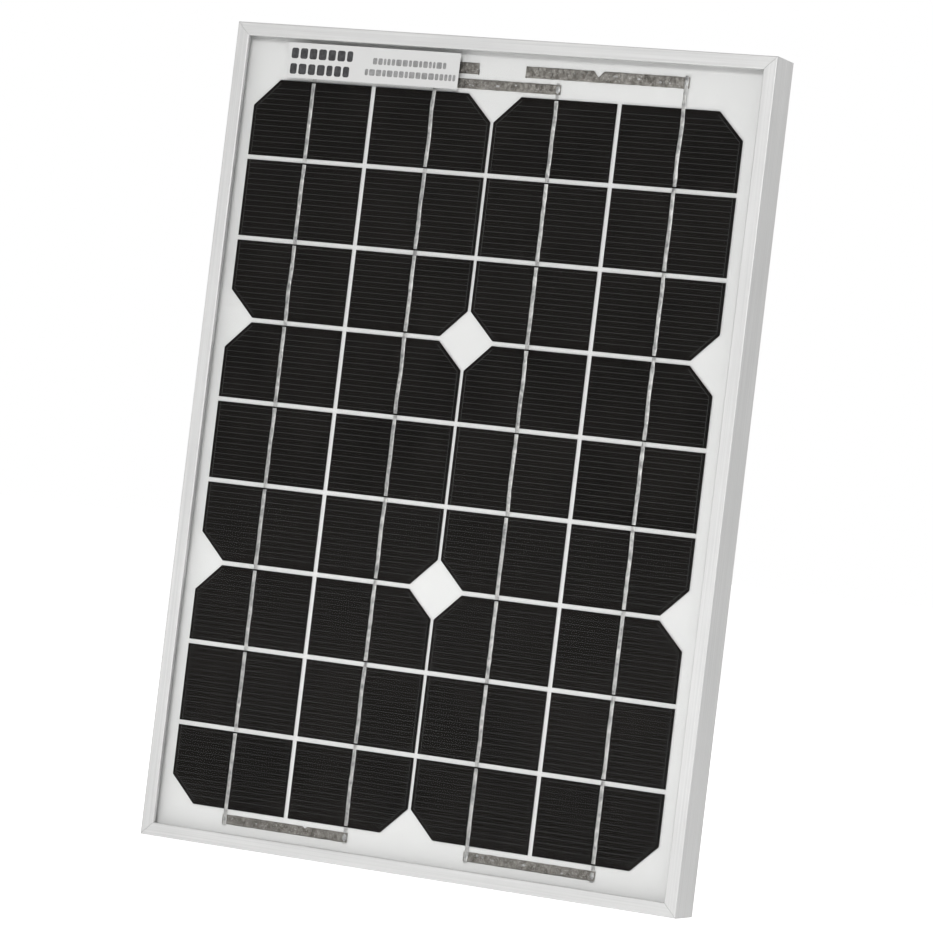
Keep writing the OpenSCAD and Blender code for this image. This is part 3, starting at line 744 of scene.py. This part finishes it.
def add_plate(mesh, low, high, radius, material=0, corner_steps=5):
    """Adds a thin plate in X and Z with rounded corners."""
    right, left = high[0] - radius, low[0] + radius
    top, bottom = high[2] - radius, low[2] + radius
    ring = []
    for cx, cz, start in ((right, top, 0), (left, top, 90), (left, bottom, 180), (right, bottom, 270)):
        for k in range(corner_steps + 1):
            angle = math.radians(start + 90 * k / corner_steps)
            ring.append((cx + radius * math.cos(angle), cz + radius * math.sin(angle)))
    add_sweep(mesh, [[(x, y, z) for x, z in ring] for y in (low[1], high[1])], material)


def add_block_row(mesh, span, bottom, top, front, lengths, material, draw):
    """A row of small rounded blocks of uneven length with narrow gaps, standing for a line of print."""
    gap = (top - bottom) * 0.2
    x, end = span
    while x + lengths[0] < end:
        length = min(draw.uniform(*lengths), end - x)
        add_plate(mesh, (x, front - PRINT_T, bottom), (x + length, front, top), gap, material)
        x += length + gap


def front_label_bars():
    """Plain rows of blocks on the front label: two thick dark rows, and two thin grey ones beside them."""
    low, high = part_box("front_label")
    width, height = high.x - low.x, high.z - low.z
    mesh = bmesh.new()
    draw = random.Random(5)
    for x0, x1, z0, z1, lengths, material in LABEL_ROWS:
        span = (low.x + width * x0, low.x + width * x1)
        add_block_row(mesh, span, low.z + height * z0, low.z + height * z1, low.y, lengths, material, draw)
    piece("front_label_bars", mesh, ["dark_ink", "grey_ink"])


def rating_label_rules():
    """A blank ruled table on the rear label."""
    low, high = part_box("rating_label")
    left, right = low.x + RULE_INSET, high.x - RULE_INSET
    bottom, top = low.z + RULE_INSET, high.z - RULE_INSET
    back, half = high.y + PRINT_T, RULE_W / 2
    mesh = bmesh.new()
    for k in range(RULED_ROWS + 1):
        z = bottom + (top - bottom) * k / RULED_ROWS
        add_block(mesh, (left, high.y, z - half), (right, back, z + half))
    for share in RULED_COLUMNS:
        x = left + (right - left) * share
        add_block(mesh, (x - half, high.y, bottom), (x + half, back, top))
    piece("rating_label_rules", mesh, ["dark_ink"])


# ---------------------------------------------------------------- nodes in two materials

# a core is bare from this far below the terminal plates upwards
BARE_BELOW_PLATES = 0.2 * MM
# a piece of core slimmer than this is a bare strand
STRAND_LIMIT = 1.3 * MM
DIODE_BODY_HALF = 2.65 * MM


def two_tone(node, materials, is_second):
    """The node's own shape, with the faces that pass a test in the second material."""
    mesh = bmesh.new()
    mesh.from_mesh(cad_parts[node].data)
    bmesh.ops.remove_doubles(mesh, verts=mesh.verts, dist=WELD_DISTANCE)
    for face in mesh.faces:
        face.material_index = 1 if is_second([v.co for v in face.verts]) else 0
    stand_in(node, node + "_finished", mesh, materials)


def finish_core(node, insulation):
    """Insulated stretches in their colour, and bare strands on the terminal plates and at the free end."""
    plates_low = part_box("terminal_plates")[0].z - BARE_BELOW_PLATES
    strand_corners = set()
    for points in islands(node):
        low, high = extent(points)
        if high.y - low.y < STRAND_LIMIT:
            strand_corners.update(rounded(p) for p in points)

    def is_bare(corners):
        return any(p.z > plates_low for p in corners) or all(rounded(p) in strand_corners for p in corners)

    two_tone(node, [insulation, "strand"], is_bare)


def finish_diode():
    """Black body and tinned legs."""
    low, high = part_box("bypass_diode")
    centre_x = (low.x + high.x) / 2

    def is_leg(corners):
        return any(abs(p.x - centre_x) > DIODE_BODY_HALF for p in corners)

    two_tone("bypass_diode", ["diode", "strand"], is_leg)


# ---------------------------------------------------------------- stage, light and camera

ROOM_TINT = (1.0, 0.998, 0.992, 1)
ROOM_BELOW, ROOM_ABOVE = 0.34, 0.55
RIGHT_SHARE, LEFT_SHARE = 0.72, 1.0
FLOOR_SIZE = 30.0
FLOOR_GAP = 0.3 * MM
FLOOR_GLOW, FLOOR_GLOW_SEEN = 0.4, 0.76


def studio_world():
    """White to the camera. For light and reflections the room is brighter above and on the left."""
    world = bpy.data.worlds.new("studio")
    bpy.context.scene.world = world
    world.use_nodes = True
    nodes, links = world.node_tree.nodes, world.node_tree.links
    nodes.clear()
    output = nodes.new("ShaderNodeOutputWorld")
    white, room = nodes.new("ShaderNodeBackground"), nodes.new("ShaderNodeBackground")
    white.inputs["Color"].default_value = (1, 1, 1, 1)
    room.inputs["Color"].default_value = ROOM_TINT
    geometry, parts = nodes.new("ShaderNodeNewGeometry"), nodes.new("ShaderNodeSeparateXYZ")
    links.new(geometry.outputs["Incoming"], parts.inputs[0])
    level = nodes.new("ShaderNodeMath")
    level.operation = "MULTIPLY"
    # the incoming direction points back along the ray: -1 on an axis is light from the axis's positive end
    ends = (("Z", ROOM_ABOVE, ROOM_BELOW), ("X", RIGHT_SHARE, LEFT_SHARE))
    for slot, (axis, from_positive, from_negative) in enumerate(ends):
        ramp = nodes.new("ShaderNodeMapRange")
        ramp.inputs["From Min"].default_value = -1.0
        ramp.inputs["To Min"].default_value = from_positive
        ramp.inputs["To Max"].default_value = from_negative
        links.new(parts.outputs[axis], ramp.inputs["Value"])
        links.new(ramp.outputs[0], level.inputs[slot])
    links.new(level.outputs[0], room.inputs["Strength"])
    path, mix = nodes.new("ShaderNodeLightPath"), nodes.new("ShaderNodeMixShader")
    links.new(path.outputs["Is Camera Ray"], mix.inputs[0])
    links.new(room.outputs[0], mix.inputs[1])
    links.new(white.outputs[0], mix.inputs[2])
    links.new(mix.outputs[0], output.inputs["Surface"])


def pale_floor():
    """A wide plain floor that looks white, takes a faint shadow and throws only a little light up."""
    s = Shader("pale_floor", roughness=0.9, specular_ior_level=0.0)
    tone = s.noise(3.0, detail=3.0)
    s.set(s.bsdf, "Base Color", s.blend(tone, grey(0.8), grey(0.83)))
    s.set(s.bsdf, "Emission Color", (1.0, 1.0, 1.0))
    seen = s.node("LightPath").outputs["Is Camera Ray"]
    s.set(s.bsdf, "Emission Strength", s.span(seen, FLOOR_GLOW, FLOOR_GLOW_SEEN))
    mesh = bmesh.new()
    bmesh.ops.create_grid(mesh, x_segments=1, y_segments=1, size=FLOOR_SIZE)
    data = bpy.data.meshes.new("floor")
    mesh.to_mesh(data)
    mesh.free()
    data.materials.append(s.material)
    floor = bpy.data.objects.new("floor", data)
    floor.location = (0, 0, cad_low.z - FLOOR_GAP)
    bpy.context.scene.collection.objects.link(floor)


def softbox(name, place, aim, size, power, mirrored=True):
    """A rectangular light. One that isn't mirrored lights matt surfaces only."""
    data = bpy.data.lights.new(name, "AREA")
    data.shape = "RECTANGLE"
    data.size, data.size_y = size
    data.energy = power
    light = bpy.data.objects.new(name, data)
    light.location = place
    light.rotation_mode = "QUATERNION"
    light.rotation_quaternion = (Vector(aim) - Vector(place)).to_track_quat("-Z", "Y")
    bpy.context.scene.collection.objects.link(light)
    light.visible_camera = False
    light.visible_glossy = mirrored


CAMERA_TILT, CAMERA_TURN, CAMERA_ROLL = -4.06, -24.26, -7.53
PANEL_IN_VIEW = Vector((-0.0066, 0.0043, -1.6762))
LENS_MM, SENSOR_MM = 160.36, 36.0


def picture_camera():
    """The viewing angle: a long lens, from a little to the right, with the panel leaning right."""
    turn = (
        Matrix.Rotation(math.radians(CAMERA_TILT), 3, "X")
        @ Matrix.Rotation(math.radians(CAMERA_TURN), 3, "Y")
        @ Matrix.Rotation(math.radians(CAMERA_ROLL), 3, "Z")
    )
    # panel axes right, up, towards the viewer, laid on the frame's X, Z and -Y
    upright = Matrix(((1, 0, 0), (0, 0, -1), (0, 1, 0)))
    back = turn.transposed()
    data = bpy.data.cameras.new("camera")
    data.lens, data.sensor_width = LENS_MM, SENSOR_MM
    camera = bpy.data.objects.new("camera", data)
    front_centre = Vector((0, cad_low.y, 0))
    place = upright @ (back @ -PANEL_IN_VIEW) + front_centre
    camera.matrix_world = Matrix.Translation(place) @ (upright @ back).to_4x4()
    bpy.context.scene.collection.objects.link(camera)
    bpy.context.scene.camera = camera


# ---------------------------------------------------------------- the object

RAIL_BEVEL = 0.14 * MM
# centre, half width and depth of the cut in a bus strip's top edge
LEFT_NOTCH = (-47.6 * MM, 1.0 * MM, 1.1 * MM)
RIGHT_NOTCH = (42.4 * MM, 2.1 * MM, 2.7 * MM)

for rail, material in (
    ("frame_top", "rail_x"),
    ("frame_bottom", "rail_x"),
    ("frame_left", "rail_z"),
    ("frame_right", "rail_z"),
):
    dress(rail, material, RAIL_BEVEL)
dress("corner_keys", "key", 0.2 * MM)
dress("edge_seal", "seal")
shrink(dress("cover_glass", "glass"), SHEET_CLEARANCE)
for sheet in ("front_encapsulant", "rear_encapsulant"):
    shrink(dress(sheet, "film"), SHEET_CLEARANCE)
dress("backsheet", "backsheet")
dress("front_label", "label")
dress("rating_label", "rating")
dress("box_base", "box", 0.25 * MM)
dress("box_adhesive", "silicone", 0.1 * MM)
dress("box_gasket", "gasket", 0.08 * MM)
dress("box_lid", "box", 0.3 * MM, 3)
dress("box_hinge_pins", "steel", 0.1 * MM)
dress("terminal_plates", "brass", 0.1 * MM)
dress("terminal_screws", "steel", 0.15 * MM)
dress("gland_seal", "gasket")
dress("gland_nut", "gland", 0.18 * MM)
dress("cable_sheath", "sheath")
dress("cable_ties", "tie", 0.2 * MM)

column_x = []
for column in range(COLUMNS):
    string = "cell_string_%d" % (column + 1)
    low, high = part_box(string)
    column_x.append((low.x + high.x) / 2)
    dress(string, "silicon")
    printed_fingers(string, column)
    soft_ribbon("string_ribbon_%d" % (column + 1), column, low.y, high.y)

soft_bus("bus_bottom_left", column_x[:2], 3, notch=LEFT_NOTCH, spots=3)
soft_bus("bus_bottom_right", column_x[2:], 11, spots=6)
soft_bus("bus_top_middle", column_x[1:3], 19, spots=4)
soft_bus("bus_output_left", column_x[:1], 27, spots=4)
soft_bus("bus_output_right", column_x[3:], 35, notch=RIGHT_NOTCH, spots=6)

front_label_bars()
rating_label_rules()
finish_core("cable_core_positive", "red")
finish_core("cable_core_negative", "black")
finish_diode()

studio_world()
pale_floor()
softbox("key_light", place=(0.45, -1.85, 0.62), aim=(0, 0, -0.05), size=(0.5, 0.35), power=15.7)
softbox(
    "low_fill", place=(-0.03, -0.3, -0.13), aim=(-0.03, 0, -0.15), size=(0.24, 0.05), power=0.3,
    mirrored=False,
)
softbox("back_light", place=(0.8, 1.6, 1.2), aim=(0, 0, 0), size=(1.2, 1.0), power=14.0)
picture_camera()
bpy.context.scene.view_settings.view_transform = "Standard"
bpy.context.scene.cycles.transparent_max_bounces = 24
